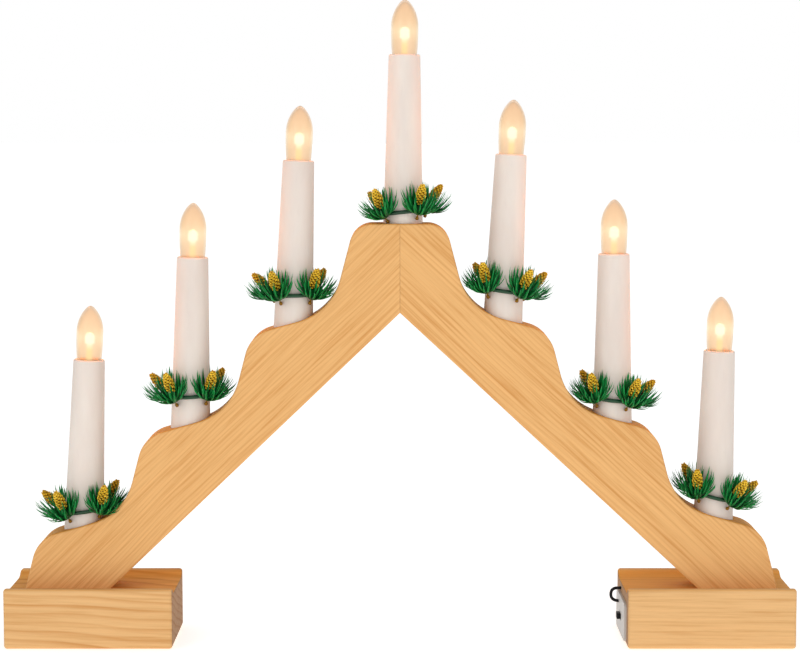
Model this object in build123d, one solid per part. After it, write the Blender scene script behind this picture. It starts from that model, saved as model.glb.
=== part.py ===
from build123d import *
import math
import os

# Candle arch: two scalloped pine boards, mitred at the top and standing in two wooden feet,
# carry seven electric candles, each with a plastic pine ring.
# Millimetres and degrees. X runs along the arch, +Z up, the viewer stands at -Y.
# The origin is on the table under the middle of the arch.

os.makedirs("parts", exist_ok=True)

LEFT = -1
RIGHT = 1

# Boards of the arch
board_thickness = 24.0
apex_height = 213.9          # flat top in the middle of the arch
apex_half_width = 22.9       # from the mitre to the sharp corner of the flat top
apex_round = 11.5
mitre_height = 45.0          # height of the boards where they meet
candle_spacing = 54.5        # from candle to candle along X
left_rise_share = 0.2436     # rise from step to step, of the apex height
right_rise_share = 0.2366
step_lift = 1.8              # middle of a step above the line of equal rises
step_pitch = 15.6            # slope of a step's top, degrees
wall_pitch = 75.3            # slope of the wall below a step's shoulder, degrees
shoulder_offset = 21.2       # sharp corner of a shoulder outside its candle
shoulder_radius = 17.0
cove_radius = 30.0
board_edge_round = 0.8
groove_width = 5.0           # wire groove along each underside
groove_depth = 5.0

# Candle places, from left to right
candle_sides = (LEFT, LEFT, LEFT, RIGHT, RIGHT, RIGHT, RIGHT)
candle_steps = (3, 2, 1, 0, 1, 2, 3)
candle_leans = (2.45, 1.2, 2.05, 0.5, 2.6, 0.1, 1.35)
axis_wander = 2.5            # how far a drilled hole strays from the middle of its step
axis_wander_shares = (0.32, 0.64, -0.04, 0.6, -0.88, -0.12, -0.96)
seat_depth = 4.1             # flat seat of a tube below its step
seat_depth_shares = (0.88, 0.87, 1.5, 0.81, 1.27, 1.1, 0.98)

# Candle tubes
tube_length = 88.3           # from the seat to the rim
tube_base_radius = 10.1
tube_top_radius = 8.0
tube_rim_round = 0.6
spigot_radius = 7.5
spigot_length = 12.0
seat_clearance = 0.15        # tube in its drilled seat
wire_hole_radius = 2.0

# Lamp sockets
socket_radius = 6.4
socket_length = 22.0
socket_recess = 3.0          # top of the socket below the rim
socket_clearance = 0.1
socket_ledge = 1.4           # ledge in the tube under the socket
lead_radius = 0.8            # all leads and wires
lead_gap = 0.2               # between a lead's end and what it meets

# Flame bulbs
plug_radius = 4.5
plug_length = 15.0
plug_clearance = 0.1
plug_room = 1.0              # free depth of the socket under the plug
collar_radius = 6.1
collar_height = 1.5
bulb_height = 27.5           # tip above the rim
bulb_radius = 6.85
bulb_belly = 4.0             # how soon the flame fills out, above the rim
bulb_shoulder = 14.0         # where it starts to narrow, above the rim
flame_full_share = 0.57      # how full the flame stays towards its tip
flame_tip_share = 0.3        # how blunt its tip is
bulb_wall = 0.7
stem_radius = 1.5
light_radius = 2.4
light_length = 5.6
light_height = 8.2           # foot of the light source above the rim

# Candle rings
ring_wire_radius = 1.0
ring_clearance = 0.35
ring_height = 14.0           # above the step
ring_height_shares = (0.52, 1.0, 1.0, 0.42, 1.0, 0.68, 0.68)
ring_tilts = (10.0, 4.0, 3.0, 7.0, -5.0, -6.0, -12.0)

# Needle sprigs: inner ones face the middle of the arch, outer ones face away from it
sprig_gap = 0.15             # between a sprig's foot and the ring's wire
sprig_height = 14.0
sprig_radius = 10.5
sprig_floor = 1.2
valley_spread_share = 0.6
valley_height_share = 0.42
needle_reach_shares = (1.0, 0.86, 0.95, 0.8, 1.0, 0.88, 0.97, 0.82, 0.93, 0.85, 0.98, 0.83, 0.9)
outer_sprig_lean = 45.0
inner_sprig_lean = 38.0      # with the ring's tilt added
outer_front_turn = 55.0      # from the arch's length, towards the front
outer_back_turn = 16.0       # from the arch's length, towards the back
inner_front_turn = 44.0
inner_back_turn = 42.0

# Gold cones
cone_radius = 2.9
cone_length = 11.0
cone_tiers = 5
cone_step_share = 0.8        # a tier's foot beside the widest part of the tier below
cone_bulge_share = 0.6       # places the fattest tier
cone_lift = 2.5              # above the sprig's floor
cone_front_rise = 18.0       # a front cone stands this much steeper than its sprig

# Mitre dowels
dowel_radius = 3.5
dowel_length = 40.0
dowel_rise = 15.0            # above the inner corner of the undersides
dowel_spread = 6.5           # each side of the middle of the board
dowel_clearance = 0.1

# Feet
foot_depth = 55.0
foot_height = 30.5
foot_overhang = 7.13         # foot beyond the arm's outer edge
foot_solid_length = 28.4     # wood beyond the battery bay
foot_edge_round = 1.5
lip_width = 3.0
channel_depth = 3.6
channel_cove = 7.5
pocket_room = 4.0            # wire pocket beyond the outer candle's lead
pocket_width = 6.0
pocket_depth = 4.5

# Foot screws
screw_radius = 2.0
screw_head_radius = 4.0
screw_head_height = 2.4
screw_length = 42.0
screw_tip = 5.0
screw_recess = 0.6
screw_inset = 20.0           # from the foot's outer end
screw_spread = 6.0
screw_clearance = 0.1

# Battery holder in the inner end of the right foot
cell_radius = 5.25
cell_length = 44.5           # with its pole
cell_count = 3
cell_gap = 0.3
pole_radius = 1.9
pole_length = 0.9
tray_wall = 1.2
contact_thickness = 0.5
contact_width = 7.0
spring_length = 2.4
spring_radius = 2.6
switch_room = 6.0            # compartment behind the end plate
lid_thickness = 1.2
bay_clearance = 0.3
plate_width = 39.0
plate_height = 19.6
plate_thickness = 1.2
plate_foot_gap = 1.8         # plate above the table
plate_round = 2.0

# Slide switch
slider_length = 5.0
slider_height = 3.0
slider_reach = 1.8           # in front of the plate
slider_travel = 3.0
slider_flange = 2.0          # wider than the slot, behind the plate
slider_clearance = 0.2
switch_drop = 0.7            # below the middle of the plate

# Battery lead
lead_rise = 2.4              # hole in the foot above the plate
lead_entry_rise = 5.4        # hole in the plate above its middle
lead_side = 8.0              # behind the middle of the plate
lead_straight = 0.6          # straight run out of the wood
lead_clearance = 0.1
joint_length = 7.0           # wire joint in the right foot's pocket
joint_width = 12.0
joint_height = 3.6
joint_depth = 4.1            # floor of its recess below the channel

overrun = 30.0               # how far a cut runs past the wood

# Places worked out from the sizes above
underside_height = apex_height - mitre_height
step_rises = {LEFT: apex_height * left_rise_share, RIGHT: apex_height * right_rise_share}
step_fall = math.tan(math.radians(step_pitch))
wall_fall = math.tan(math.radians(wall_pitch))
channel_floor = foot_height - channel_depth
last_step = max(candle_steps)
outer_candles = {LEFT: 0, RIGHT: len(candle_sides) - 1}
rim_to_ledge = socket_recess + socket_length

tray_inner_width = cell_count * (2 * cell_radius + cell_gap) + cell_gap
tray_width = tray_inner_width + 2 * tray_wall
cell_room = 2 * contact_thickness + spring_length + cell_length
tray_length = switch_room + tray_wall + cell_room + tray_wall
tray_height = tray_wall + 2 * cell_radius + cell_gap
holder_height = tray_height + lid_thickness
bay_depth = tray_length + bay_clearance
foot_length = bay_depth + foot_solid_length
plate_middle = plate_foot_gap + plate_height / 2
tray_floor = plate_middle - holder_height / 2
lead_height = plate_foot_gap + plate_height + lead_rise
wire_end_level = channel_floor - joint_depth + joint_height + lead_radius + lead_gap


def save(node, *solids):
    """Writes the solids of one node to a STEP file."""
    shape = solids[0] if len(solids) == 1 else Compound(children=list(solids))
    export_step(shape, f"parts/{node}.step")


def turned(outline):
    """Solid of revolution about Z from a closed outline in radius and height."""
    return revolve(Plane.XZ * make_face(outline), Axis.Z)


def round_bar(radius, start, end):
    """Round bar between two points."""
    run = Vector(*end) - Vector(*start)
    place = Plane(origin=start, z_dir=run)
    return extrude(place * Circle(radius), run.length)


def step_height(side, step, reach):
    """Height of a step's top, drawn on to any distance from the mitre."""
    if step == 0:
        return apex_height
    middle = apex_height + step_lift - step * step_rises[side]
    return middle - (reach - step * candle_spacing) * step_fall


def shoulder_point(side, step):
    """Sharp outer corner of a step."""
    if step == 0:
        return apex_half_width, apex_height
    reach = step * candle_spacing + shoulder_offset
    return reach, step_height(side, step, reach)


def cove_point(side, step):
    """Sharp inner corner where the wall above meets a step's top."""
    wall_reach, wall_top = shoulder_point(side, step - 1)
    start = step_height(side, step, 0)
    reach = (wall_top + wall_reach * wall_fall - start) / (wall_fall - step_fall)
    return reach, step_height(side, step, reach)


def outer_foot_reach(side):
    """Where the outer wall of an arm meets the channel floor."""
    reach, height = shoulder_point(side, last_step)
    return reach + (height - channel_floor) / wall_fall


def underside_slope(side):
    return step_rises[side] / candle_spacing


def inner_foot_reach(side):
    """Where the underside of an arm meets the channel floor."""
    return (underside_height - channel_floor) / underside_slope(side)


foot_reach = max(outer_foot_reach(LEFT), outer_foot_reach(RIGHT)) + foot_overhang
foot_inner = foot_reach - foot_length


def arm_outline(side):
    """Front outline of one arm: stepped top, foot, underside and mitre."""
    points = [(0, apex_height), shoulder_point(side, 0)]
    radii = [0, apex_round]
    for step in range(1, last_step + 1):
        points += [cove_point(side, step), shoulder_point(side, step)]
        radii += [cove_radius, shoulder_radius]
    points += [(outer_foot_reach(side), channel_floor), (inner_foot_reach(side), channel_floor)]
    points += [(0, underside_height)]
    radii += [0, 0, 0]
    return FilletPolyline([(side * x, z) for x, z in points], radius=radii, close=True)


def groove_cut(side):
    """Wire groove along an arm's underside."""
    slope = math.atan(underside_slope(side))
    along = Vector(side * math.cos(slope), 0, -math.sin(slope))
    inward = Vector(side * math.sin(slope), 0, math.cos(slope))
    place = Plane(origin=(0, 0, underside_height), x_dir=along, z_dir=along.cross(inward))
    length = inner_foot_reach(side) / math.cos(slope) + 2 * overrun
    cut = Rectangle(length, 2 * groove_depth, align=(Align.MIN, Align.CENTER))
    cut = Pos(-overrun, 0) * cut
    return extrude(place * cut, groove_width / 2, both=True)


def candle_frame(index):
    """Place of a candle: its tube's seat, with Z along the tube."""
    side, step = candle_sides[index], candle_steps[index]
    lean = math.radians(candle_leans[index])
    x = side * step * candle_spacing + axis_wander_shares[index] * axis_wander
    z = step_height(side, step, side * x) - seat_depth_shares[index] * seat_depth
    axis = (math.sin(lean), 0, math.cos(lean))
    return Location(Plane(origin=(x, 0, z), x_dir=(axis[2], 0, -axis[0]), z_dir=axis))


def standing(radius, height, foot=0):
    """Upright cylinder from a foot height."""
    return Pos(0, 0, foot) * Cylinder(radius, height, align=(Align.CENTER, Align.CENTER, Align.MIN))


def candle_cut(index):
    """Flat seat, spigot hole and wire hole of one candle."""
    drop = apex_height - underside_height
    hole_depth = spigot_length + seat_clearance
    cut = standing(tube_base_radius + seat_clearance, overrun)
    cut += standing(spigot_radius + seat_clearance, hole_depth, -hole_depth)
    cut += standing(wire_hole_radius, drop, -drop)
    return candle_frame(index) * cut


def dowels(extra):
    """The two bars across the mitre, or their holes with some extra size."""
    half = dowel_length / 2 + extra
    height = underside_height + dowel_rise
    return [round_bar(dowel_radius + extra, (-half, y, height), (half, y, height))
            for y in (-dowel_spread, dowel_spread)]


def screw_places(side):
    """Foot of each of the two screws under one foot."""
    x = side * (foot_reach - screw_inset)
    return [Pos(x, y, screw_recess) for y in (-screw_spread, screw_spread)]


def screw(extra):
    """Countersunk screw from the face of its head, or its hole with some extra size."""
    head = screw_head_radius + extra
    shank = screw_radius + extra
    top = screw_length + extra
    return turned(Polyline((0, 0), (head, 0), (shank, screw_head_height), (shank, top - screw_tip),
                           (0, top), (0, 0)))


def foot_screws(side):
    return [place * screw(0) for place in screw_places(side)]


def screw_holes(side):
    """Holes of the screws, open to the table."""
    hole = screw(screw_clearance) + standing(screw_head_radius + screw_clearance, overrun, -overrun)
    return [place * hole for place in screw_places(side)]


def arm(side):
    wood = extrude(Plane.XZ * make_face(arm_outline(side)), board_thickness / 2, both=True)
    faces = wood.faces().filter_by(Axis.Y)
    joined = wood.edges().group_by(Axis.Z)[0] + wood.edges().group_by(Axis.X)[-1 if side == LEFT else 0]
    wood = fillet([edge for edge in faces.edges() if edge not in joined], board_edge_round)
    wood -= groove_cut(side)
    for index in range(len(candle_sides)):
        if candle_sides[index] == side or candle_steps[index] == 0:
            wood -= candle_cut(index)
    wood -= dowels(dowel_clearance)
    wood -= screw_holes(side)
    return wood


def foot_profile():
    """Cross-section of a foot, with its lips and channel, in Y and Z."""
    half = foot_depth / 2
    lip = half - lip_width
    flat = lip - channel_cove
    block = Pos(0, foot_height / 2) * RectangleRounded(foot_depth, foot_height, foot_edge_round)
    floor = Line((-flat, channel_floor), (flat, channel_floor))
    rise = TangentArc((flat, channel_floor), (lip, foot_height), tangent=(1, 0))
    fall = TangentArc((-flat, channel_floor), (-lip, foot_height), tangent=(-1, 0))
    roof = Polyline((lip, foot_height), (lip, foot_height + overrun),
                    (-lip, foot_height + overrun), (-lip, foot_height))
    return block - make_face([floor, rise, roof, fall])


def lead_foot(side):
    """Distance of the outer candle's lead from the mitre where it ends in the foot."""
    frame = candle_frame(outer_candles[side])
    axis = Plane(frame).z_dir
    return side * (frame.position.X - axis.X * (frame.position.Z - wire_end_level) / axis.Z)


def pocket_length(side):
    """Wire pocket from the foot of the arm's groove to beyond the outer candle's lead and the arm's wire."""
    wire_foot = side * wire_ends(side)[1].X
    return max(lead_foot(side), wire_foot) + pocket_room - inner_foot_reach(side)


def pocket_middle(side):
    return side * (inner_foot_reach(side) + pocket_length(side) / 2)


def foot(side):
    block = extrude(Plane.YZ * foot_profile(), foot_length)
    ends = block.edges().filter_by(Axis.Z)
    block = fillet(ends, foot_edge_round)
    block = Pos(foot_inner if side == RIGHT else -foot_reach, 0, 0) * block
    pocket = Box(pocket_length(side), pocket_width, 2 * pocket_depth)
    block -= Pos(pocket_middle(side), 0, channel_floor) * pocket
    block -= screw_holes(side)
    return block


def battery_cuts():
    """Battery bay, lead hole and recess for the wire joint of the right foot."""
    low = (Align.MIN, Align.CENTER, Align.MIN)
    bay = Box(bay_depth + overrun, tray_width + 2 * bay_clearance,
              holder_height + 2 * bay_clearance, align=low)
    cuts = Pos(foot_inner - overrun, 0, tray_floor - bay_clearance) * bay
    hole_end = (pocket_middle(RIGHT), lead_side, lead_height)
    hole_start = (foot_inner - overrun, lead_side, lead_height)
    cuts += round_bar(lead_radius + lead_clearance, hole_start, hole_end)
    room = Box(joint_length + 2 * bay_clearance, joint_width + 2 * bay_clearance, 2 * joint_depth)
    return cuts + Pos(pocket_middle(RIGHT), joint_middle(), channel_floor) * room


def joint_middle():
    """Middle of the wire joint across the foot, between the lead and the arm's wire."""
    return lead_side / 2


def candle_tube():
    """Hollow tube with its spigot; the seat is at zero."""
    bore = socket_radius + socket_clearance
    lower_bore = bore - socket_ledge
    ledge = tube_length - rim_to_ledge
    inner_rim = bore + tube_rim_round
    outer_rim = tube_top_radius - tube_rim_round
    return turned(Polyline(
        (lower_bore, -spigot_length), (spigot_radius, -spigot_length), (spigot_radius, 0),
        (tube_base_radius, 0), (tube_top_radius, tube_length - tube_rim_round),
        (outer_rim, tube_length), (inner_rim, tube_length), (bore, tube_length - tube_rim_round),
        (bore, ledge), (lower_bore, ledge), (lower_bore, -spigot_length)))


def lamp_socket():
    foot_level = tube_length - rim_to_ledge
    body = standing(socket_radius, socket_length, foot_level)
    depth = plug_length + plug_room
    top = foot_level + socket_length
    return body - standing(plug_radius + plug_clearance, depth, top - depth)


def bulb_base():
    """Plug, collar, stem and light source of a flame bulb."""
    seat = tube_length - socket_recess
    collar_top = seat + collar_height
    light_foot = tube_length + light_height
    dome_foot = light_foot + light_length - light_radius
    outline = Polyline((0, seat - plug_length), (plug_radius, seat - plug_length), (plug_radius, seat),
                       (collar_radius, seat), (collar_radius, collar_top), (stem_radius, collar_top),
                       (stem_radius, light_foot), (light_radius, light_foot), (light_radius, dome_foot))
    dome = TangentArc((light_radius, dome_foot), (0, dome_foot + light_radius), tangent=(0, 1))
    axis = Line((0, dome_foot + light_radius), (0, seat - plug_length))
    return turned([outline, dome, axis])


def flame_body(inset):
    """Solid flame from the collar up, smaller by an inset all round."""
    foot_level = tube_length - socket_recess + collar_height
    shoulder = tube_length + bulb_shoulder
    tip = tube_length + bulb_height - 2 * inset
    waist = bulb_radius - inset
    full = shoulder + (tip - shoulder) * flame_full_share
    foot = Line((0, foot_level), (collar_radius - inset, foot_level))
    belly = Bezier((collar_radius - inset, foot_level), (waist, tube_length + bulb_belly), (waist, shoulder))
    flame = Bezier((waist, shoulder), (waist, full), (waist * flame_tip_share, tip), (0, tip))
    axis = Line((0, tip), (0, foot_level))
    return turned([foot, belly, flame, axis])


def flame_cover():
    """Clear flame-shaped cover, open below, standing on the collar."""
    return flame_body(0) - flame_body(bulb_wall)


def lamp_lead(index):
    """Lead from a socket down to the wire in the groove, or beyond the wire's end into the foot's pocket."""
    side = candle_sides[index]
    frame = candle_frame(index)
    start = frame.position
    axis = Plane(frame).z_dir
    slope = math.atan(underside_slope(side))
    normal = Vector(side * math.sin(slope), 0, math.cos(slope))
    drop = (start.Z - wire_end_level) / axis.Z
    if side * (start - axis * drop).X < side * wire_ends(side)[1].X:
        over = (start - Vector(0, 0, underside_height)).dot(normal) - groove_depth - lead_radius - lead_gap
        drop = over / axis.dot(normal)
    length = tube_length - rim_to_ledge - lead_gap + drop
    return frame * standing(lead_radius, length, -drop)


def wire_ends(side):
    """Ends of the wire along the roof of an arm's groove, at the mitre and in the foot's pocket."""
    slope = math.atan(underside_slope(side))
    along = Vector(side * math.cos(slope), 0, -math.sin(slope))
    inward = Vector(side * math.sin(slope), 0, math.cos(slope))
    start = Vector(0, 0, underside_height) + inward * (groove_depth - lead_radius - lead_gap)
    start -= along * (start.X / along.X - groove_depth)
    drop = start.Z - wire_end_level
    return start, start + along * (drop / math.sin(slope))


def arm_wire(side):
    start, end = wire_ends(side)
    return round_bar(lead_radius, tuple(start), tuple(end))


def tube_radius_at(height):
    """Outside radius of a tube at a height above its seat."""
    return tube_base_radius - (tube_base_radius - tube_top_radius) * height / tube_length


def ring_place(index):
    """Frame of a candle ring, tilted with the slope of its step, and its wire's circle radius."""
    tilt = math.radians(ring_tilts[index])
    height = seat_depth_shares[index] * seat_depth + ring_height_shares[index] * ring_height
    lowest = height - tube_base_radius * math.sin(abs(tilt))
    bore = (tube_radius_at(lowest) + ring_clearance) / math.cos(tilt)
    plane = Plane(origin=(0, 0, height), x_dir=(math.cos(tilt), 0, math.sin(tilt)),
                  z_dir=(-math.sin(tilt), 0, math.cos(tilt)))
    return candle_frame(index) * Location(plane), bore + ring_wire_radius


def sprig_frames(index):
    """Foot of each of the four sprigs on a ring, front ones first, with Z along the sprig."""
    place, circle = ring_place(index)
    side = candle_sides[index]
    outward = 180 if side == LEFT else 0
    inward = outward + 180
    inner_lean = inner_sprig_lean + abs(ring_tilts[index])
    turns = [(outward - side * outer_front_turn, outer_sprig_lean),
             (inward + side * inner_front_turn, inner_lean),
             (outward + side * outer_back_turn, outer_sprig_lean),
             (inward - side * inner_back_turn, inner_lean)]
    foot_offset = ring_wire_radius + sprig_gap
    return [place * Rot(0, 0, turn) * Pos(circle, 0, 0) * Rot(0, lean, 0) * Pos(0, 0, foot_offset)
            for turn, lean in turns]


def needle_sprig():
    """Star-shaped cup of needles, closed by flat facets."""
    count = len(needle_reach_shares)
    tips, valleys = [], []
    for k, reach in enumerate(needle_reach_shares):
        angle = 2 * math.pi * k / count
        between = angle + math.pi / count
        spread = sprig_radius * reach
        tips.append((spread * math.cos(angle), spread * math.sin(angle), sprig_height * reach))
        spread = sprig_radius * valley_spread_share
        valleys.append((spread * math.cos(between), spread * math.sin(between),
                        sprig_height * valley_height_share))
    facets = []
    for k in range(count):
        tip, valley, after = tips[k], valleys[k], tips[(k + 1) % count]
        for apex, first, second in (((0, 0, 0), valley, tip), ((0, 0, 0), after, valley),
                                    ((0, 0, sprig_floor), tip, valley),
                                    ((0, 0, sprig_floor), valley, after)):
            facets.append(Face(Wire.make_polygon([apex, first, second])))
    return Solid(Shell(facets))


def cone_frames(index):
    """Foot of each cone of a ring, above its sprig's floor, with Z along the cone."""
    rises = (cone_front_rise, cone_front_rise, 0, 0)
    return [place * Pos(0, 0, sprig_floor + cone_lift) * Rot(0, -rise, 0)
            for place, rise in zip(sprig_frames(index), rises)]


def gold_cone():
    """Small fir cone of stepped tiers."""
    points = [(0, 0)]
    for tier in range(1, cone_tiers):
        share = tier / cone_tiers
        radius = cone_radius * math.sin(math.pi * share ** cone_bulge_share)
        points += [(radius, share * cone_length), (radius * cone_step_share, share * cone_length)]
    points += [(0, cone_length), (0, 0)]
    return turned(Polyline(points))


def battery_box():
    """Tray with its end plate; open above, with a slot for the switch and a hole for the lead."""
    low = (Align.MIN, Align.CENTER, Align.MIN)
    tray = Pos(foot_inner, 0, tray_floor) * Box(tray_length, tray_width, tray_height, align=low)
    room = Box(switch_room, tray_inner_width, tray_height, align=low)
    tray -= Pos(foot_inner, 0, tray_floor + tray_wall) * room
    cells = Box(cell_room, tray_inner_width, tray_height, align=low)
    tray -= Pos(foot_inner + switch_room + tray_wall, 0, tray_floor + tray_wall) * cells
    face = Plane.YZ * Pos(0, plate_middle) * RectangleRounded(plate_width, plate_height, plate_round)
    box = tray + Pos(foot_inner, 0, 0) * extrude(face, -plate_thickness)
    slot = Box(3 * plate_thickness, slider_length + slider_travel + 2 * slider_clearance,
               slider_height + 2 * slider_clearance)
    box -= Pos(foot_inner - plate_thickness, 0, plate_middle - switch_drop) * slot
    entry = (foot_inner + plate_thickness, lead_side, plate_middle + lead_entry_rise)
    outside = (foot_inner - overrun, lead_side, plate_middle + lead_entry_rise)
    return box - round_bar(lead_radius + lead_clearance, outside, entry)


def battery_lid():
    """Flat lid that lies on the tray's walls."""
    low = (Align.MIN, Align.CENTER, Align.MIN)
    lid = Box(tray_length, tray_width, lid_thickness, align=low)
    return Pos(foot_inner, 0, tray_floor + tray_height) * lid


def cell_places():
    """Across and up: the axis of each cell in the tray."""
    pitch = 2 * cell_radius + cell_gap
    middle = (cell_count - 1) / 2
    height = tray_floor + tray_wall + cell_radius + cell_gap / 2
    return [((k - middle) * pitch, height) for k in range(cell_count)]


def cells():
    """Round cells along X, each with its pole towards the plate."""
    pole_face = foot_inner + switch_room + tray_wall + contact_thickness
    made = []
    for y, z in cell_places():
        body = round_bar(cell_radius, (pole_face + pole_length, y, z), (pole_face + cell_length, y, z))
        made.append(body + round_bar(pole_radius, (pole_face, y, z), (pole_face + pole_length, y, z)))
    return made


def contacts():
    """Contact strips at both ends of the cells; the rear one carries the spring cones."""
    front = foot_inner + switch_room + tray_wall
    rear = front + cell_room
    height = cell_places()[0][1]
    strip = Box(contact_thickness, tray_inner_width - 2 * cell_gap, contact_width,
                align=(Align.MIN, Align.CENTER, Align.CENTER))
    sprung = Pos(rear - contact_thickness, 0, height) * strip
    for y, z in cell_places():
        spring = Cone(spring_radius, pole_radius, spring_length, align=(Align.CENTER, Align.CENTER, Align.MIN))
        sprung += Pos(rear - contact_thickness, y, z) * Rot(0, -90, 0) * spring
    return Pos(front, 0, height) * strip, sprung


def switch_slider():
    """Black nub in the plate's slot, kept in by a flange behind the plate."""
    back = foot_inner + slider_clearance
    nub = Box(back - foot_inner + plate_thickness + slider_reach, slider_length, slider_height,
              align=(Align.MAX, Align.CENTER, Align.CENTER))
    flange = Box(slider_flange, slider_length + slider_travel + slider_flange,
                 slider_height + slider_flange, align=(Align.MIN, Align.CENTER, Align.CENTER))
    shift = slider_travel / 2
    return Pos(back, shift, plate_middle - switch_drop) * (nub + flange)


def battery_lead():
    """Black lead: out of the foot, round in a half loop and into the plate."""
    lower = plate_middle + lead_entry_rise
    radius = (lead_height - lower) / 2
    turn = foot_inner - plate_thickness - lead_straight
    end = foot_inner - plate_thickness / 2
    start = pocket_middle(RIGHT) - joint_length / 2
    path = Wire([
        Edge.make_line((start, lead_side, lead_height), (turn, lead_side, lead_height)),
        Edge.make_three_point_arc((turn, lead_side, lead_height),
                                  (turn - radius, lead_side, lower + radius), (turn, lead_side, lower)),
        Edge.make_line((turn, lead_side, lower), (end, lead_side, lower))])
    return sweep(Plane(origin=path @ 0, z_dir=path % 0) * Circle(lead_radius), path)


def wire_joint():
    """Insulated joint in the right foot's pocket between the battery lead and the arm's wire."""
    low = (Align.CENTER, Align.CENTER, Align.MIN)
    block = Box(joint_length, joint_width, joint_height, align=low)
    return Pos(pocket_middle(RIGHT), joint_middle(), channel_floor - joint_depth) * block


save("left_arm", arm(LEFT))
save("right_arm", arm(RIGHT))
save("mitre_dowels", *dowels(0))
save("left_foot", foot(LEFT))
save("right_foot", foot(RIGHT) - battery_cuts())
save("foot_screws", *foot_screws(LEFT), *foot_screws(RIGHT))

candle_indices = range(len(candle_sides))
save("lamp_sockets", *[candle_frame(i) * lamp_socket() for i in candle_indices])
save("lamp_leads", *[lamp_lead(i) for i in candle_indices])
save("left_arm_wire", arm_wire(LEFT))
save("right_arm_wire", arm_wire(RIGHT))
for i in candle_indices:
    number = i + 1
    ring_frame, ring_circle = ring_place(i)
    save(f"candle_tube_{number}", candle_frame(i) * candle_tube())
    save(f"flame_bulb_{number}", candle_frame(i) * flame_cover())
    save(f"bulb_base_{number}", candle_frame(i) * bulb_base())
    save(f"garland_ring_{number}", ring_frame * Torus(ring_circle, ring_wire_radius))
    save(f"garland_sprigs_{number}", *[place * needle_sprig() for place in sprig_frames(i)])
    save(f"garland_cones_{number}", *[place * gold_cone() for place in cone_frames(i)])

save("battery_box", battery_box())
save("battery_lid", battery_lid())
save("battery_cells", *cells())
save("battery_contacts", *contacts())
save("switch_slider", switch_slider())
save("battery_lead", battery_lead())
save("wire_joint", wire_joint())
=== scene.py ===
import math
import random

import bpy
from mathutils import Matrix, Vector
from mathutils.bvhtree import BVHTree


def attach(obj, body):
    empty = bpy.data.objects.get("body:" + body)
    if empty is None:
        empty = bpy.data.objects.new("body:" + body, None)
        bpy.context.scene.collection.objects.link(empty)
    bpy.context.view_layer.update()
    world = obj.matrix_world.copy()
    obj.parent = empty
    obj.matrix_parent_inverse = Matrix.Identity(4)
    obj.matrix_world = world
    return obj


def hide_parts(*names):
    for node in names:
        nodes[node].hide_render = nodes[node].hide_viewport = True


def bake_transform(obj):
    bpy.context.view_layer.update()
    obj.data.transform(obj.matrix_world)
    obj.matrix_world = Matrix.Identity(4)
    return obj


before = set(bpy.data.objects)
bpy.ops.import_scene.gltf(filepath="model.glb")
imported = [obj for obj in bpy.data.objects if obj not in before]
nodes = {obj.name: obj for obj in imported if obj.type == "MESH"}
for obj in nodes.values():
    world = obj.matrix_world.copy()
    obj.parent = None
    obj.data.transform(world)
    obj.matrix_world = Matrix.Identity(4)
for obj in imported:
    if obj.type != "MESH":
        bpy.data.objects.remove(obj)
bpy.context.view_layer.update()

scene = bpy.context.scene
scene.view_settings.view_transform = "Standard"

MM = 0.001
LEFT, RIGHT = -1, 1
CANDLES = range(1, 8)

# Sizes of the solids that the pieces here follow, in millimetres and degrees
apex_height = 213.9
candle_spacing = 54.5
step_rises = {LEFT: 0.2436 * apex_height, RIGHT: 0.2366 * apex_height}
step_lift = 1.8
step_fall = math.tan(math.radians(15.6))
candle_sides = (LEFT, LEFT, LEFT, RIGHT, RIGHT, RIGHT, RIGHT)
candle_steps = (3, 2, 1, 0, 1, 2, 3)
candle_leans = (2.45, 1.2, 2.05, 0.5, 2.6, 0.1, 1.35)
axis_wander = 2.5
axis_wander_shares = (0.32, 0.64, -0.04, 0.6, -0.88, -0.12, -0.96)
seat_depth = 4.1
seat_depth_shares = (0.88, 0.87, 1.5, 0.81, 1.27, 1.1, 0.98)
tube_length = 88.3
tube_base_radius, tube_top_radius = 10.1, 8.0
bulb_height = 27.5
ring_height = 14.0
ring_height_shares = (0.52, 1.0, 1.0, 0.42, 1.0, 0.68, 0.68)
ring_tilts = (10.0, 4.0, 3.0, 7.0, -5.0, -6.0, -12.0)
ring_wire_radius = 1.0
ring_clearance = 0.35
sprig_gap = 0.15
outer_sprig_lean, inner_sprig_lean = 45.0, 38.0
outer_front_turn, outer_back_turn = 55.0, 16.0
inner_front_turn, inner_back_turn = 44.0, 42.0
cone_radius, cone_length, cone_foot, cone_front_rise = 2.9, 11.0, 3.7, 18.0
foot_height = 30.5

# Needle sprigs, in millimetres and degrees
needle_steps = 5
needle_taper = 0.7
needle_foot_share, needle_belly_share = 0.8, 0.9
needle_keel_share, needle_ridge_share = 0.5, 0.2
# Shade values rise towards a needle's tip: painted shade, darkest at its foot in the sprig's core.
needle_fade = 0.75
needle_gap = 0.45
bowl_outline = ((0.5, 0.0), (2.8, 0.4), (4.4, 1.8), (5.4, 4.0), (5.1, 4.2), (3.9, 2.6), (2.0, 1.5))
bowl_floor = 1.4
bowl_sides = 18
bowl_waves, bowl_wave_share, bowl_wave_height = 5, 0.06, 4
# Low shade values on the bowls paint shade in the sprig's core.
bowl_shade = 0.05
bowl_shift = 1.6
front_bowl_rise, back_bowl_rise = 14, 6
# Each row: needles, radius and height of their feet, spread, length, width, bend and least rise
needle_rows = ((17, 4.0, 1.7, 62, 9.6, 2.2, 20, 2), (16, 4.4, 2.6, 49, 10.8, 2.1, 14, 18),
               (14, 4.2, 2.9, 36, 11.8, 2.0, 9, 32), (10, 3.5, 2.3, 24, 12.6, 1.7, 4, 46))
place_scatter, spread_scatter, side_scatter, rise_scatter = 0.28, 7, 0.12, 5
length_shares, width_shares, needle_shades = (0.82, 1.08), (0.8, 1.1), (0.0, 0.3)

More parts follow.
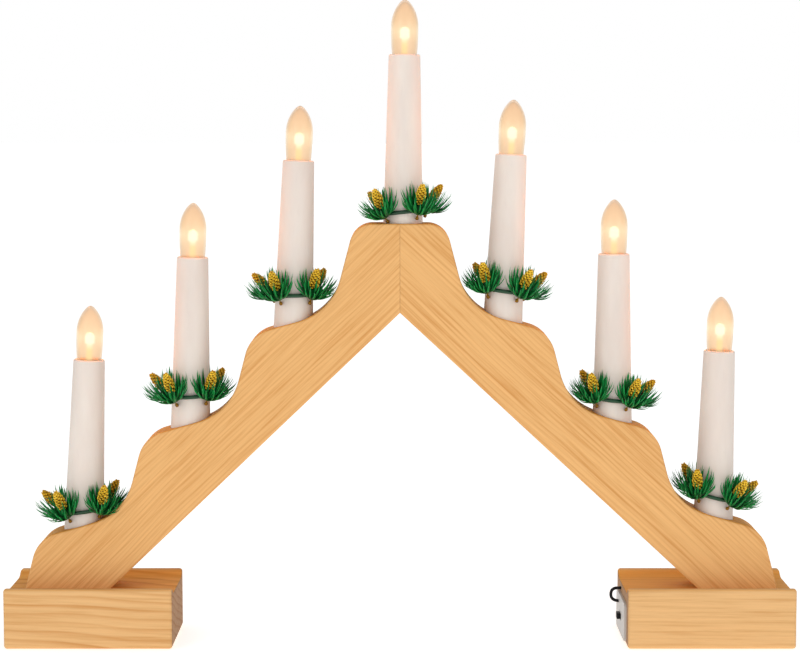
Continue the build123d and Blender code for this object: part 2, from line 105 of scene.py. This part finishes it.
# Cones and the beads on their wires, in millimetres
core_share, core_top_share = 0.68, 0.97
core_levels, core_sides = 10, 12
scale_count = 54
scale_turn = math.radians(137.508)
scale_start_share, scale_run_share = 0.05, 0.9
scale_length, scale_thickness, scale_sink = 1.75, 0.34, 0.7
scale_outline = ((-0.55, 0.0), (-0.95, 0.55), (0.0, 1.08), (0.95, 0.55), (0.55, 0.0))
scale_widest = 0.55
scale_ridge_along, scale_ridge_out = 0.62, 1.7
cone_wobble = 0.08
# Rear cones are darker all over: painted shade for cones in the shade behind the tube.
back_cone_painted_shade = 0.3
random_turn = 6.28
bead_outline = ((0.35, -0.2), (0.4, -1.6), (0.75, -2.0), (0.95, -2.7), (0.75, -3.4))
bead_foot = -3.6
bead_sides = 10
bead_shade = 0.1


# Shader graphs

def linear(r, g, b):
    """Colour of the screen, 0 to 255, as a linear colour."""
    return tuple(c / 255 / 12.92 if c <= 10 else ((c / 255 + 0.055) / 1.055) ** 2.4 for c in (r, g, b))


def scaled(colour, share):
    return tuple(min(1, c * share) for c in colour)


def tinted(colour, tint):
    return tuple(c * k for c, k in zip(colour, tint))


class Graph:
    """Node tree of one material, with a short way to add and join nodes."""

    def __init__(self, name):
        self.material = bpy.data.materials.new(name)
        self.material.use_nodes = True
        self.tree = self.material.node_tree
        self.shader = self.tree.nodes["Principled BSDF"]

    def feed(self, socket, value):
        """Links a node's output to a socket, or sets the socket to a plain value."""
        if isinstance(value, bpy.types.NodeSocket):
            self.tree.links.new(value, socket)
        else:
            socket.default_value = value

    def add(self, kind, inputs=None, **settings):
        node = self.tree.nodes.new("ShaderNode" + kind)
        for key, value in settings.items():
            setattr(node, key, value)
        for key, value in (inputs or {}).items():
            self.feed(node.inputs[key], value)
        return node

    def set(self, **sockets):
        """Sets sockets of the main shader, by their names with _ for a space."""
        for key, value in sockets.items():
            self.feed(self.shader.inputs[key.replace("_", " ")], value)

    def place(self):
        return self.add("TexCoord").outputs["Object"]

    def split(self, vector):
        return self.add("SeparateXYZ", {"Vector": vector}).outputs

    def mapped(self, vector, scale=(1, 1, 1), turn=(0, 0, 0), shift=(0, 0, 0)):
        """Vector that is turned and shifted first, and scaled after that."""
        turned = self.add("Mapping", {"Vector": vector, "Rotation": turn, "Location": shift})
        return self.add("Mapping", {"Vector": turned.outputs["Vector"], "Scale": scale}).outputs["Vector"]

    def noise(self, vector, scale=1.0, detail=4.0, rough=0.55):
        return self.add("TexNoise", {"Vector": vector, "Scale": scale, "Detail": detail,
                                     "Roughness": rough}).outputs["Fac"]

    def ramp(self, factor, *stops):
        node = self.add("ValToRGB", {"Fac": factor})
        elements = node.color_ramp.elements
        while len(elements) < len(stops):
            elements.new(0.5)
        for element, (place, colour) in zip(elements, stops):
            element.position = place
            element.color = (*colour, 1.0)
        return node.outputs["Color"]

    def level(self, factor, low, high, to_low=0.0, to_high=1.0):
        return self.add("MapRange", {"Value": factor, "From Min": low, "From Max": high,
                                     "To Min": to_low, "To Max": to_high}).outputs["Result"]

    def mix(self, factor, a, b, blend="MIX"):
        node = self.add("Mix", data_type="RGBA", blend_type=blend)
        self.feed(node.inputs[0], factor)
        for key, colour in ((6, a), (7, b)):
            self.feed(node.inputs[key], (*colour, 1.0) if isinstance(colour, tuple) else colour)
        return node.outputs[2]

    def math(self, operation, *values):
        node = self.add("Math", operation=operation)
        for socket, value in zip(node.inputs, values):
            self.feed(socket, value)
        return node.outputs[0]

    def bump(self, height, strength, distance, normal=None):
        inputs = {"Height": height, "Strength": strength, "Distance": distance}
        if normal is not None:
            inputs["Normal"] = normal
        return self.add("Bump", inputs).outputs["Normal"]

    def soft_edges(self, radius):
        return self.add("Bevel", {"Radius": radius}, samples=6).outputs["Normal"]


growth_tint, hair_tint = (0.86, 0.72, 0.54), (0.88, 0.76, 0.6)
# The tint for upper faces is painted shade: it makes faces that look up warmer and darker, as if shaded by
# the wood around them.
upper_painted_shade_tint, end_tint = (1.2, 0.9, 0.4), (0.47, 0.44, 0.54)
ring_slant = 0.3
# Near the top of a foot the painted shade on upper faces falls to a share, so the lip stays lighter than the
# channel.
lip_start, lip_end, lip_share = 0.9, 0.1, 0.15


def wood(name, turn, light, dark, line_pitch, line_depth, wander, shift, edge=0.9, lip=None):
    """Pine: growth lines along the grain, fine streaks, darker end grain, and painted shade on upper faces,
    which are made warmer and darker.

    With a lip, only faces below that height get the full painted shade.
    """
    g = Graph(name)
    place = g.mapped(g.place(), turn=(0, math.radians(turn), 0), shift=shift)
    part = g.split(place)
    slow = g.noise(g.mapped(place, (6, 60, 150)), detail=2)
    wave = g.noise(g.mapped(place, (6, 9, 11)), detail=2, rough=0.4)
    streaks = g.noise(g.mapped(place, (18, 420, 620)), detail=4, rough=0.6)
    hairs = g.noise(g.mapped(place, (80, 1300, 2300)), detail=3, rough=0.7)

    across = g.math("ADD", part["Z"], g.math("MULTIPLY", part["Y"], ring_slant))
    across = g.math("ADD", across, g.math("MULTIPLY", wave, wander * MM))
    ring = g.math("FRACT", g.math("MULTIPLY", across, 1 / (line_pitch * MM)))
    growth = g.ramp(ring, (0.0, (0, 0, 0)), (0.5, (0.1, 0.1, 0.1)), (0.87, (1, 1, 1)), (1.0, (0, 0, 0)))
    growth = g.math("MULTIPLY", growth, g.level(slow, 0.32, 0.6, 0.25 * line_depth, line_depth))

    colour = g.ramp(streaks, (0.3, dark), (0.5, light), (0.72, scaled(light, 1.08)))
    colour = g.mix(growth, colour, tinted(dark, growth_tint))
    colour = g.mix(g.level(hairs, 0.55, 0.8, 0, 0.4), colour, tinted(dark, hair_tint))

    face = g.split(g.add("TexCoord").outputs["Normal"])
    # Painted shade: faces that look up get the warm, dark tint; on the feet mostly in the channel below the
    # lip.
    upper = g.level(face["Z"], 0.35, 0.8, 0, 0.85)
    if lip:
        below = g.level(g.split(g.place())["Z"], (lip - lip_start) * MM, (lip - lip_end) * MM, 1.0, lip_share)
        upper = g.math("MULTIPLY", upper, below)
    colour = g.mix(upper, colour, upper_painted_shade_tint, "MULTIPLY")
    end = g.level(g.math("ABSOLUTE", face["X"]), 0.86, 0.97, 0, 0.9)
    colour = g.mix(end, colour, end_tint, "MULTIPLY")

    fine = g.math("ADD", g.math("MULTIPLY", streaks, 0.6), g.math("MULTIPLY", hairs, 0.4))
    g.set(Base_Color=colour, Roughness=g.level(streaks, 0.2, 0.8, 0.75, 0.6), Specular_IOR_Level=0.12,
          Normal=g.bump(fine, 0.12, 0.4 * MM, g.soft_edges(edge * MM)))
    return g.material


def moulded(name, colour, roughness, vary=0.08, **sockets):
    """Moulded plastic: faint cloudiness of colour and gloss, and a very fine skin."""
    g = Graph(name)
    place = g.place()
    cloud = g.noise(place, 60.0, 3)
    grain = g.noise(place, 3600.0, 2, 0.6)
    tone = g.mix(g.level(cloud, 0.3, 0.7), scaled(colour, 1 - vary), scaled(colour, 1 + vary))
    g.set(Base_Color=tone, Roughness=g.level(cloud, 0.3, 0.7, roughness * 0.9, roughness * 1.1),
          Normal=g.bump(grain, 0.05, 0.1 * MM), **sockets)
    return g.material


def metal(name, colour, roughness):
    """Plated metal with fine brushing."""
    g = Graph(name)
    brush = g.noise(g.mapped(g.place(), (300, 300, 4000)), detail=3)
    tone = g.mix(g.level(brush, 0.3, 0.7), scaled(colour, 0.85), colour)
    g.set(Base_Color=tone, Metallic=1.0, Roughness=g.level(brush, 0.3, 0.7, roughness * 0.8, roughness * 1.2),
          Normal=g.bump(brush, 0.05, 0.05 * MM))
    return g.material


def dress(material, *names):
    for name in names:
        nodes[name].data.materials.clear()
        nodes[name].data.materials.append(material)


# Frames of the candles and their rings

def candle_frame(i):
    """Seat of a candle, with Z along the tube."""
    side, step = candle_sides[i - 1], candle_steps[i - 1]
    lean = math.radians(candle_leans[i - 1])
    x = side * step * candle_spacing + axis_wander_shares[i - 1] * axis_wander
    top = apex_height
    if step:
        top += step_lift - step * step_rises[side] - (side * x - step * candle_spacing) * step_fall
    z = top - seat_depth_shares[i - 1] * seat_depth
    return Matrix.Translation((x * MM, 0, z * MM)) @ Matrix.Rotation(lean, 4, "Y")


def ring_frame(i):
    """Middle of a candle ring, tilted as the ring is, and the radius of its circle in millimetres."""
    tilt = math.radians(ring_tilts[i - 1])
    height = seat_depth_shares[i - 1] * seat_depth + ring_height_shares[i - 1] * ring_height
    lowest = height - tube_base_radius * math.sin(abs(tilt))
    circle = (tube_radius_at(lowest) + ring_clearance) / math.cos(tilt) + ring_wire_radius
    middle = candle_frame(i) @ Matrix.Translation((0, 0, height * MM))
    return middle @ Matrix.Rotation(-tilt, 4, "Y"), circle


def tube_radius_at(height):
    """Outside radius of a tube at a height above its seat, both in millimetres."""
    return tube_base_radius - (tube_base_radius - tube_top_radius) * height / tube_length


def sprig_stands(i):
    """Upright frame on the ring's wire, with X outwards, and lean of each sprig, front ones first."""
    place, circle = ring_frame(i)
    side = candle_sides[i - 1]
    outward = 180 if side == LEFT else 0
    inward = outward + 180
    inner_lean = inner_sprig_lean + abs(ring_tilts[i - 1])
    turns = ((outward - side * outer_front_turn, outer_sprig_lean),
             (inward + side * inner_front_turn, inner_lean),
             (outward + side * outer_back_turn, outer_sprig_lean),
             (inward - side * inner_back_turn, inner_lean))
    reach = Matrix.Translation((circle * MM, 0, 0))
    return [(place @ Matrix.Rotation(math.radians(turn), 4, "Z") @ reach, math.radians(lean))
            for turn, lean in turns]


# Mesh building

class Builder:
    """Points and faces of one piece, in metres in the shared frame, with one shade value per point."""

    def __init__(self):
        self.points, self.faces, self.shades = [], [], []

    def point(self, co, shade=0.0):
        self.points.append(Vector(co))
        self.shades.append(shade)
        return len(self.points) - 1

    def face(self, *corners):
        self.faces.append(corners)

    def skin(self, rings, start=None, end=None):
        """Joins rings of points; start and end are single points that close the tube."""
        for a, b in zip(rings, rings[1:]):
            for k in range(len(a)):
                n = (k + 1) % len(a)
                self.face(a[k], a[n], b[n], b[k])
        for tip, ring, flip in ((start, rings[0], True), (end, rings[-1], False)):
            if tip is None:
                continue
            for k in range(len(ring)):
                n = (k + 1) % len(ring)
                self.face(*((ring[n], ring[k], tip) if flip else (ring[k], ring[n], tip)))

    def piece(self, name, material, smooth=True):
        mesh = bpy.data.meshes.new(name)
        mesh.from_pydata(self.points, [], self.faces)
        mesh.materials.append(material)
        for polygon in mesh.polygons:
            polygon.use_smooth = smooth
        shade = mesh.attributes.new("shade", "FLOAT", "POINT")
        shade.data.foreach_set("value", self.shades)
        obj = bpy.data.objects.new(name, mesh)
        scene.collection.objects.link(obj)
        return obj


def turns_of(sides):
    return [2 * math.pi * k / sides for k in range(sides)]


def circle_points(radius, height, sides):
    """Points of a level circle, in metres."""
    return [Vector((radius * math.cos(a), radius * math.sin(a), height)) * MM for a in turns_of(sides)]


def needle(build, place, foot, direction, up, length, width, bend, shade, keep_out):
    """Flat tapered needle with a keel, that curves upwards."""
    side = direction.cross(up).normalized()
    rings = []
    for k in range(needle_steps + 1):
        t = k / needle_steps
        ahead = Matrix.Rotation(bend * t * t, 3, side) @ direction
        centre = foot + ahead * (length * t)
        top = side.cross(ahead).normalized()
        w = width * (1 - t) ** needle_taper * (needle_foot_share + needle_belly_share * t * (1 - t))
        corners = (centre + side * w, centre - top * (needle_keel_share * w),
                   centre - side * w, centre + top * (needle_ridge_share * w))
        moved = [keep_out(place @ (c * MM)) for c in corners]
        if k < needle_steps:
            rings.append([build.point(p, shade + (1 - shade) * needle_fade * t) for p in moved])
    build.skin(rings, end=build.point(moved[0], 1.0))


def sprig(build, place, up, rng, keep_out):
    """Moulded cluster: a small bowl with rows of pointed needles that sweep out and up."""
    rings = []
    for r, z in bowl_outline:
        ring = []
        for a in turns_of(bowl_sides):
            wave = 1 + bowl_wave_share * math.cos(bowl_waves * a) * (z / bowl_wave_height)
            spot = Vector((r * wave * math.cos(a), r * wave * math.sin(a), z))
            ring.append(build.point(keep_out(place @ (spot * MM)), bowl_shade + z * bowl_shade))
        rings.append(ring)
    under = build.point(place @ Vector((0, 0, 0)), 0.0)
    inside = build.point(place @ Vector((0, 0, bowl_floor * MM)), 0.0)
    build.skin(rings, start=under, end=inside)

    for count, radius, height, spread, length, width, bend, lowest in needle_rows:
        start = rng.random() * 2 * math.pi
        for k in range(count):
            a = start + 2 * math.pi * (k + rng.uniform(-place_scatter, place_scatter)) / count
            out = math.radians(spread + rng.uniform(-spread_scatter, spread_scatter))
            foot = Vector((radius * math.cos(a), radius * math.sin(a), height))
            direction = Vector((math.sin(out) * math.cos(a), math.sin(out) * math.sin(a), math.cos(out)))
            direction += Vector((-math.sin(a), math.cos(a), 0)) * rng.uniform(-side_scatter, side_scatter)
            level = direction - up * direction.dot(up)
            least = math.radians(lowest + rng.uniform(-rise_scatter, rise_scatter))
            rise = max(math.atan2(direction.dot(up), level.length), least)
            direction = level.normalized() * math.cos(rise) + up * math.sin(rise)
            needle(build, place, foot, direction, up, length * rng.uniform(*length_shares),
                   0.5 * width * rng.uniform(*width_shares), math.radians(bend),
                   rng.uniform(*needle_shades), keep_out)


def cone_radius_at(share):
    """Radius of a cone at a share of its length."""
    return cone_radius * math.sin(math.pi * min(1, 0.06 + 0.94 * share) ** 0.62) ** 0.8


def cone(build, place, dim):
    """Small fir cone: a core with overlapping pointed scales in a spiral, with painted shade on its core and
    between its scales, and darker all over, as painted shade, where dim is above 0.
    """
    # The core takes low shade values: painted shade deep between the scales.
    rings = []
    for k in range(1, core_levels):
        share = k / core_levels
        circle = circle_points(core_share * cone_radius_at(share), share * cone_length, core_sides)
        rings.append([build.point(place @ p, 0.0) for p in circle])
    foot = build.point(place @ Vector((0, 0, 0)), 0.0)
    top = build.point(place @ Vector((0, 0, core_top_share * cone_length * MM)), 0.7)
    build.skin(rings, start=foot, end=top)
    for k in range(scale_count):
        share = scale_start_share + scale_run_share * k / (scale_count - 1)
        cone_scale(build, place, dim, share, k * scale_turn)


def cone_scale(build, place, dim, share, turn):
    """Pointed scale with a ridge, at a share of a cone's length."""
    size = 0.62 + 0.38 * math.sin(math.pi * share)
    out = Vector((math.cos(turn), math.sin(turn), 0))
    side = Vector((-math.sin(turn), math.cos(turn), 0))
    lift = Vector((0, 0, 1))
    base = out * (0.6 * cone_radius_at(share)) + lift * (share * cone_length - scale_sink)
    grow = (out * 0.62 + lift * 0.95).normalized() * (scale_length * size)
    back = (out * 0.8 - lift * 0.6).normalized() * scale_thickness
    lower, upper = [], []
    for across, along in scale_outline:
        spot = base + side * (across * size) + grow * along
        bulge = 1.0 if along == scale_widest else 0.4
        # Shade values paint shade at a scale's foot and a highlight towards its tip and ridge.
        lower.append(build.point(place @ ((spot + back * bulge) * MM), 0.35 + 0.6 * along - dim))
        upper.append(build.point(place @ ((spot - back * 0.5) * MM), 0.25 + 0.5 * along - dim))
    crest = base + grow * scale_ridge_along + back * scale_ridge_out
    ridge = build.point(place @ (crest * MM), 0.85 - dim)
    for m in range(len(scale_outline)):
        n = (m + 1) % len(scale_outline)
        build.face(lower[n], lower[m], ridge)
        build.face(lower[m], lower[n], upper[n], upper[m])
    build.face(*upper)


def stub(build, place):
    """End of a cone's wire under its sprig, with a small bead."""
    rings = [[build.point(place @ p, bead_shade) for p in circle_points(r, z, bead_sides)]
             for r, z in bead_outline]
    build.skin(rings[::-1], start=build.point(place @ Vector((0, 0, bead_foot * MM)), bead_shade),
               end=build.point(place @ Vector((0, 0, 0)), bead_shade))


def clear_of(i, tree, gap):
    """Returns a function that keeps a point a gap away from a candle's tube and the arm it stands on."""
    seat = candle_frame(i)
    to_seat = seat.inverted()
    probe = Vector((0.13, 0.97, 0.2)).normalized()
    past_face = probe * 1e-6

    def inside(point):
        hits = 0
        spot = tree.ray_cast(point, probe)[0]
        while spot is not None:
            hits += 1
            spot = tree.ray_cast(spot + past_face, probe)[0]
        return hits % 2 == 1

    def keep_out(point):
        local = to_seat @ point
        radius = tube_radius_at(local.z / MM) * MM + gap
        reach = math.hypot(local.x, local.y)
        if reach < radius:
            local.x *= radius / reach
            local.y *= radius / reach
            point = seat @ local
        spot, _, _, distance = tree.find_nearest(point)
        if inside(point):
            point = spot + (spot - point).normalized() * gap
        elif distance < gap:
            point = spot + (point - spot).normalized() * gap
        return point
    return keep_out


def tree_of(name):
    mesh = nodes[name].data
    return BVHTree.FromPolygons([v.co for v in mesh.vertices], [p.vertices[:] for p in mesh.polygons])


# Materials

arm_pine = {"light": linear(230, 179, 117), "dark": linear(213, 154, 90), "line_depth": 0.38, "wander": 18}
foot_pine = {"light": linear(226, 181, 125), "dark": linear(212, 162, 104), "edge": 1.2, "lip": foot_height}
dress(wood("left_pine", turn=43.7, line_pitch=1.9, shift=(0.0, 0, 0), **arm_pine), "left_arm")
dress(wood("right_pine", turn=-42.9, line_pitch=2.1, shift=(0.31, 0.02, 0.4), **arm_pine), "right_arm")
dress(wood("left_foot_pine", turn=-2.0, line_pitch=4.7, line_depth=0.95, wander=34, shift=(0.7, 0.05, 0.2),
           **foot_pine), "left_foot")
dress(wood("right_foot_pine", turn=-0.5, line_pitch=2.6, line_depth=0.11, wander=18, shift=(1.4, 0.02, 0.9),
           **foot_pine), "right_foot")
dress(wood("dowel_beech", turn=0, light=linear(214, 176, 130), dark=linear(196, 152, 106), line_pitch=1.5,
           line_depth=0.3, wander=4, shift=(0.2, 0.1, 0.3), edge=0.4), "mitre_dowels")


def tube_plastic():
    """Ivory tube: slightly translucent and faintly cloudy, with rubbed marks."""
    g = Graph("ivory_tube")
    place = g.place()
    cloud = g.noise(g.mapped(place, (90, 90, 22)), detail=4)
    marks = g.noise(g.mapped(place, (900, 900, 120)), detail=3)
    tone = g.mix(g.level(cloud, 0.35, 0.68), linear(226, 213, 203), linear(233, 222, 212))
    tone = g.mix(g.level(marks, 0.62, 0.8, 0, 0.25), tone, linear(212, 199, 190))
    g.set(Base_Color=tone, Roughness=g.level(cloud, 0.3, 0.7, 0.48, 0.6), Specular_IOR_Level=0.16,
          Subsurface_Weight=0.12, Subsurface_Radius=(1.0, 0.6, 0.45), Subsurface_Scale=2 * MM,
          Normal=g.bump(marks, 0.04, 0.1 * MM))
    return g.material


wire_black = (0.006, 0.006, 0.007)
dress(tube_plastic(), *[f"candle_tube_{i}" for i in CANDLES])
dress(moulded("socket_black", (0.02, 0.02, 0.022), 0.5, Specular_IOR_Level=0.3), "lamp_sockets", "wire_joint")
dress(moulded("lead_black", wire_black, 0.5, Specular_IOR_Level=0.2),
      "lamp_leads", "left_arm_wire", "right_arm_wire", "battery_lead")
dress(metal("zinc_steel", (0.62, 0.62, 0.6), 0.35), "foot_screws", "battery_contacts")
dress(moulded("holder_grey", linear(196, 192, 187), 0.45), "battery_box", "battery_lid")
dress(moulded("slider_black", wire_black, 0.5, Specular_IOR_Level=0.2), "switch_slider")
dress(moulded("cell_jacket", (0.08, 0.1, 0.16), 0.3, Metallic=0.6), "battery_cells")
dress(moulded("ring_green", linear(6, 66, 34), 0.35, vary=0.25), *[f"garland_ring_{i}" for i in CANDLES])


def needle_green():
    """Moulded needles with a slight gloss and painted shade: dark at their feet and in the bowls, where the
    sprig's core is shaded, lighter towards the tips.
    """
    g = Graph("needle_green")
    shade = g.add("Attribute", attribute_name="shade").outputs["Fac"]
    cloud = g.noise(g.place(), 260.0, 3)
    # Shade attribute as painted shade: dark green at needle feet and bowls, light green at the tips.
    tone = g.ramp(shade, (0.0, linear(0, 42, 12)), (0.35, linear(0, 104, 42)),
                  (0.75, linear(14, 154, 72)), (1.0, linear(136, 210, 150)))
    tone = g.mix(g.level(cloud, 0.42, 0.72, 0, 0.55), tone, linear(0, 76, 30))
    g.set(Base_Color=tone, Roughness=g.level(cloud, 0.3, 0.7, 0.34, 0.48), Specular_IOR_Level=0.2,
          Normal=g.bump(g.noise(g.place(), 1800.0, 2), 0.06, 0.1 * MM))
    return g.material


def gold():
    """Gold lacquer over moulded scales, with painted light from the shade attribute: painted highlights on
    the edges and painted shade, bronze, in the gaps.
    """
    g = Graph("gold")
    shade = g.add("Attribute", attribute_name="shade").outputs["Fac"]
    worn = g.noise(g.place(), 420.0, 4)
    # Shade attribute: painted shade, bronze, in the gaps, and painted highlights, pale gold, on scale edges
    # and ridges.
    tone = g.ramp(shade, (0.0, linear(92, 58, 2)), (0.4, linear(206, 152, 14)),
                  (0.85, linear(255, 208, 48)), (1.0, linear(255, 234, 112)))
    tone = g.mix(g.level(worn, 0.5, 0.75, 0, 0.5), tone, linear(160, 108, 12))
    g.set(Base_Color=tone, Metallic=0.55, Roughness=g.level(worn, 0.3, 0.7, 0.28, 0.42),
          Specular_IOR_Level=0.5)
    return g.material


# Candle rings: needles, cones and wire ends

needles, gilt = needle_green(), gold()
arm_trees = {LEFT: tree_of("left_arm"), RIGHT: tree_of("right_arm")}
cone_lift = Matrix.Translation((0, 0, (ring_wire_radius + sprig_gap + cone_foot) * MM))
bowl_place = Matrix.Translation((bowl_shift * MM, 0, -bowl_shift * MM))
for i in CANDLES:
    rng = random.Random(40 + i)
    keep_out = clear_of(i, arm_trees[candle_sides[i - 1]], needle_gap * MM)
    green, cones = Builder(), Builder()
    up = ring_frame(i)[0].to_3x3() @ Vector((0, 0, 1))
    for k, (stand, lean) in enumerate(sprig_stands(i)):
        front = k < 2
        rise = math.radians(cone_front_rise) if front else 0
        foot = stand @ Matrix.Rotation(lean, 4, "Y") @ cone_lift
        foot = foot @ Matrix.Rotation(rng.uniform(-cone_wobble, cone_wobble), 4, "X")
        foot = foot @ Matrix.Rotation(rng.uniform(-cone_wobble, cone_wobble) - rise, 4, "Y")
        foot = foot @ Matrix.Rotation(rng.random() * random_turn, 4, "Z")
        # Rear cones get painted shade.
        cone(cones, foot, 0.0 if front else back_cone_painted_shade)
        bowl_lean = lean - math.radians(front_bowl_rise if front else back_bowl_rise)
        bowl = stand @ bowl_place @ Matrix.Rotation(bowl_lean, 4, "Y")
        stub(cones, bowl)
        bowl = bowl @ Matrix.Rotation(rng.random() * random_turn, 4, "Z")
        sprig(green, bowl, bowl.to_3x3().inverted() @ up, rng, keep_out)
    leaves = green.piece(f"needles_{i}", needles)
    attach(leaves, f"candle_ring_{i}")
    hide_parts(f"garland_sprigs_{i}")
    gilded = cones.piece(f"cones_{i}", gilt, smooth=False)
    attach(gilded, f"candle_ring_{i}")
    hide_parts(f"garland_cones_{i}")


# Bulbs

glow_power = 0.028
glow_colour = (1.0, 0.27, 0.02)
glow_height, glow_radius = 19, 3
# From the top of the stem up the part glows: painted light on the stem, then the light itself.
stem_start, stem_end = tube_length - 1.0, tube_length + 1.0
light_start, light_end = tube_length + 5.0, tube_length + 8.6


def candle_height(g, i):
    """Height above a candle's seat in millimetres, as a shader value."""
    m = candle_frame(i).inverted()
    along = g.add("VectorMath", {0: g.place(), 1: tuple(m[2][:3])}, operation="DOT_PRODUCT").outputs["Value"]
    return g.math("MULTIPLY", g.math("ADD", along, m[2][3]), 1 / MM)


def flame_cover(i):
    """Clear peach-tinted cover with fine ribs, hazy round the light inside it."""
    g = Graph(f"flame_cover_{i}")
    rise = g.level(candle_height(g, i), tube_length, tube_length + bulb_height)
    ribs = g.noise(g.mapped(g.place(), (500, 500, 40)), detail=2)
    haze = g.ramp(rise, (0.0, linear(150, 134, 114)), (0.2, linear(180, 170, 144)),
                  (0.42, linear(226, 226, 194)), (0.6, linear(190, 168, 126)),
                  (0.85, linear(176, 138, 98)), (1.0, linear(160, 108, 74)))
    haze = g.mix(g.level(ribs, 0.5, 0.75, 0, 0.5), haze, linear(140, 104, 70))
    g.set(Base_Color=(0.86, 0.71, 0.56, 1), Roughness=0.3, IOR=1.25, Transmission_Weight=1.0,
          Emission_Color=haze, Emission_Strength=0.12, Normal=g.bump(ribs, 0.2, 0.25 * MM))
    return g.material


def light_source(i):
    """Light on its stem inside the cover: the stem glows warm yellow, painted light for the light falling on
    it, and the light above glows near white; plug and collar stay plain.
    """
    g = Graph(f"light_source_{i}")
    height = candle_height(g, i)
    stem = g.level(height, stem_start, stem_end)
    light = g.level(height, light_start, light_end)
    cloud = g.noise(g.place(), 300.0, 3)
    tone = g.mix(g.level(cloud, 0.3, 0.7), linear(240, 226, 196), linear(250, 240, 214))
    # Painted light: the stem glows warm yellow as if lit by the light above it; the light itself glows near
    # white.
    g.set(Base_Color=g.mix(stem, tone, (0.1, 0.12, 0.12)), Roughness=0.4,
          Emission_Color=g.mix(light, linear(255, 240, 186), linear(255, 252, 246)),
          Emission_Strength=g.math("ADD", stem, g.math("MULTIPLY", light, 0.2)))
    return g.material


for i in CANDLES:
    dress(flame_cover(i), f"flame_bulb_{i}")
    dress(light_source(i), f"bulb_base_{i}")
    nodes[f"flame_bulb_{i}"].visible_shadow = False
    glow = bpy.data.lights.new(f"glow_{i}", "POINT")
    glow.energy = glow_power
    glow.color = glow_colour
    glow.shadow_soft_size = glow_radius * MM
    lamp = bpy.data.objects.new(f"glow_{i}", glow)
    scene.collection.objects.link(lamp)
    lamp.visible_camera = lamp.visible_glossy = lamp.visible_transmission = False
    lamp.location = candle_frame(i) @ Vector((0, 0, (tube_length + glow_height) * MM))
    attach(lamp, f"bulb_{i}")


# Battery lead: a loop that starts inside the foot's hole and runs outside it along the holder

def battery_lead():
    side, upper, lower, out = 8.0, 23.8, 17.0, 109.7
    radius = 0.8
    route = [(155.1, upper), (142, upper), (130, upper), (121, upper), (116.6, upper),
             (out, upper), (out, lower), (114.4, lower)]
    curve = bpy.data.curves.new("lead_route", "CURVE")
    curve.dimensions = "3D"
    curve.bevel_depth = radius * MM
    curve.bevel_resolution = 3
    curve.use_fill_caps = True
    spline = curve.splines.new("NURBS")
    spline.points.add(len(route) - 1)
    for point, (x, z) in zip(spline.points, route):
        point.co = (x * MM, side * MM, z * MM, 1)
    spline.order_u = 3
    spline.use_endpoint_u = True
    drawn = bpy.data.objects.new("lead_route", curve)
    lead = bpy.data.objects.new("lead_loop", bpy.data.meshes.new_from_object(drawn))
    bpy.data.objects.remove(drawn)
    scene.collection.objects.link(lead)
    lead.data.materials.clear()
    lead.data.materials.append(nodes["battery_lead"].data.materials[0])
    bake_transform(lead)
    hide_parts("battery_lead")


battery_lead()


# Floor, light and camera, in metres

floor_half = 60
floor_drop = 0.0005
sky_stops = ((0.16, 1.0), (0.5, 0.6))
side_fade = {"From Min": 0.5, "From Max": 0.9, "To Min": 1.0, "To Max": 0.4}
softbox_side = 0.9
camera_lens, camera_sensor = 95.18, 36
camera_place = (0, -1.0755, 0.2584)
camera_dip = 5.187


def floor_material():
    """Pale floor that stays white in the picture."""
    g = Graph("floor_white")
    cloud = g.noise(g.place(), 8.0, 2)
    g.set(Base_Color=g.mix(g.level(cloud, 0.3, 0.7), (0.92, 0.92, 0.92), (0.94, 0.94, 0.94)), Roughness=0.8,
          Specular_IOR_Level=0.1, Emission_Color=(1, 1, 1, 1), Emission_Strength=0.56)
    return g.material


build = Builder()
floor_corners = ((-1, -1), (1, -1), (1, 1), (-1, 1))
build.face(*[build.point((x * floor_half, y * floor_half, 0)) for x, y in floor_corners])
floor = build.piece("floor", floor_material())
floor.location.z = -floor_drop


def studio():
    """White behind and before the part, darker overhead and at its sides."""
    world = bpy.data.worlds.new("studio")
    scene.world = world
    world.use_nodes = True
    tree = world.node_tree
    background = tree.nodes["Background"]
    split = tree.nodes.new("ShaderNodeSeparateXYZ")
    tree.links.new(tree.nodes.new("ShaderNodeTexCoord").outputs["Generated"], split.inputs["Vector"])
    ramp = tree.nodes.new("ShaderNodeValToRGB")
    tree.links.new(split.outputs["Z"], ramp.inputs["Fac"])
    for element, (place, tone) in zip(ramp.color_ramp.elements, sky_stops):
        element.position = place
        element.color = (tone, tone, tone, 1)
    tree.links.new(ramp.outputs["Color"], background.inputs["Color"])
    away = tree.nodes.new("ShaderNodeMath")
    away.operation = "ABSOLUTE"
    tree.links.new(split.outputs["X"], away.inputs[0])
    sides = tree.nodes.new("ShaderNodeMapRange")
    tree.links.new(away.outputs[0], sides.inputs["Value"])
    for key, value in side_fade.items():
        sides.inputs[key].default_value = value
    tree.links.new(sides.outputs["Result"], background.inputs["Strength"])


def softbox(name, place, aim, power):
    light = bpy.data.lights.new(name, "AREA")
    light.shape = "RECTANGLE"
    light.size = light.size_y = softbox_side
    light.energy = power
    obj = bpy.data.objects.new(name, light)
    scene.collection.objects.link(obj)
    obj.location = place
    obj.rotation_euler = (Vector(aim) - Vector(place)).to_track_quat("-Z", "Y").to_euler()


studio()
softbox("key", place=(-1.2, -1.4, 0.8), aim=(0, 0, 0.15), power=4.8)
softbox("fill", place=(1.2, -1.4, 0.7), aim=(0, 0, 0.12), power=3.8)

camera = bpy.data.cameras.new("camera")
camera.lens = camera_lens
camera.sensor_width = camera_sensor
camera.sensor_fit = "HORIZONTAL"
view = bpy.data.objects.new("camera", camera)
scene.collection.objects.link(view)
view.location = camera_place
view.rotation_euler = (math.radians(90 - camera_dip), 0, 0)
scene.camera = view
